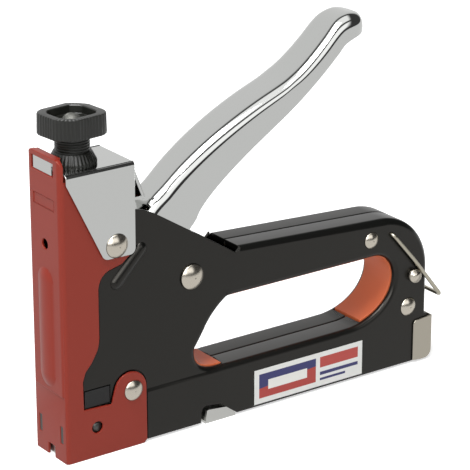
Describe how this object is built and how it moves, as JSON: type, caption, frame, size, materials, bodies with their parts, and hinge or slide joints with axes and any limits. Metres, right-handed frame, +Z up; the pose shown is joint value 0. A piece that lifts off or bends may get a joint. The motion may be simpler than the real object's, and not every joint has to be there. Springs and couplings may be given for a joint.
{
  "type": "staple gun",
  "caption": "Hand staple gun with a squeeze lever that cocks a spring hammer, a power knob with lock collar, a pull-out staple magazine and a wire lock bail.",
  "frame": {"origin": "under the middle of the gun's length and width, at the level of its base", "axes": "+X from the nose towards the magazine's end cap, +Y to the gun's right side seen from behind the grip, +Z up towards the lever"},
  "size_m": [0.1778, 0.0288, 0.1487],
  "materials": {
    "black_paint": "gloss black enamel on pressed steel",
    "red_paint": "red enamel on pressed steel",
    "chrome_plate": "bright chrome plate",
    "orange_rubber": "soft orange liner",
    "machined_steel": "machined steel",
    "nickel_rivet": "warm nickel, satin",
    "brass": "machined brass",
    "dark_steel": "blackened steel",
    "black_rubber": "matte rubber",
    "black_plastic": "moulded black plastic",
    "spring_steel": "drawn spring wire",
    "zinc_steel": "bright zinc plate",
    "satin_nickel": "satin nickel plate",
    "printed_label": "printed film, white with a red and a blue panel, no text"
  },
  "bodies": {
    "frame": {"body_shell_left": "black_paint", "body_shell_right": "black_paint", "nose_cover": "red_paint", "top_bracket": "chrome_plate", "grip_liner": "orange_rubber", "lever_pivot_rivet": "nickel_rivet", "pivot_bush": "brass", "bumper": "black_rubber", "nose_block": "black_plastic", "nose_guide_plate": "machined_steel", "nose_studs": "dark_steel", "bracket_rivet": "nickel_rivet", "nose_rivet": "nickel_rivet", "grip_rivet": "nickel_rivet", "rear_rivet": "nickel_rivet", "rivet_spacers": "machined_steel", "bail_stops": "nickel_rivet", "main_spring": "spring_steel", "threaded_bush": "brass", "staple_channel": "zinc_steel", "label_plate": "printed_label"},
    "lever_body": {"lever": "chrome_plate", "lift_pin": "machined_steel"},
    "hammer_body": {"hammer": "dark_steel", "driver_blade": "machined_steel", "driver_rivets": "machined_steel"},
    "adjuster": {"spring_seat": "machined_steel"},
    "knob": {"power_knob": "black_plastic", "adjusting_screw": "dark_steel"},
    "collar": {"lock_collar": "black_plastic"},
    "bail": {"wire_bail": "spring_steel"},
    "magazine": {"staple_rail": "zinc_steel", "end_cap": "satin_nickel", "spring_rod": "machined_steel", "pusher_spring": "spring_steel"},
    "pusher_body": {"pusher": "zinc_steel"}
  },
  "joints": [
    {"name": "lever_squeeze", "type": "hinge", "parent": "frame", "child": "lever_body", "pos_m": [-0.03097, 0, 0.0613], "axis": [0, 1, 0], "range_deg": [0, 44], "stiffness_Nm_per_rad": 2, "springref_deg": -8.59},
    {"name": "hammer_lift", "type": "slide", "parent": "frame", "child": "hammer_body", "axis": [0, 0, 1], "range_m": [0, 0.01803], "deforming": ["main_spring"]},
    {"name": "power_travel", "type": "slide", "parent": "frame", "child": "adjuster", "axis": [0, 0, 1], "range_m": [-0.0035, 0.005]},
    {"name": "power_knob_turn", "type": "hinge", "parent": "adjuster", "child": "knob", "pos_m": [-0.07502, 0, 0.11], "axis": [0, 0, 1], "range_deg": [-810, 1170]},
    {"name": "lock_collar_turn", "type": "hinge", "parent": "frame", "child": "collar", "pos_m": [-0.07502, 0, 0.114], "axis": [0, 0, 1], "range_deg": [0, 90]},
    {"name": "bail_swing", "type": "hinge", "parent": "frame", "child": "bail", "pos_m": [0.06353, 0, 0.0576], "axis": [0, -1, 0], "range_deg": [0, 188]},
    {"name": "magazine_pull", "type": "slide", "parent": "frame", "child": "magazine", "axis": [1, 0, 0], "range_m": [0, 0.15]},
    {"name": "pusher_feed", "type": "slide", "parent": "magazine", "child": "pusher_body", "axis": [1, 0, 0], "range_m": [0, 0.105], "stiffness_N_per_m": 20, "springref_m": -0.05, "deforming": ["pusher_spring"]}
  ],
  "couplings": [
    {"joint": "hammer_lift", "follows": "lever_squeeze", "m_per_rad": 0.023415},
    {"joint": "power_travel", "follows": "power_knob_turn", "m_per_rad": 0.00023873}
  ]
}
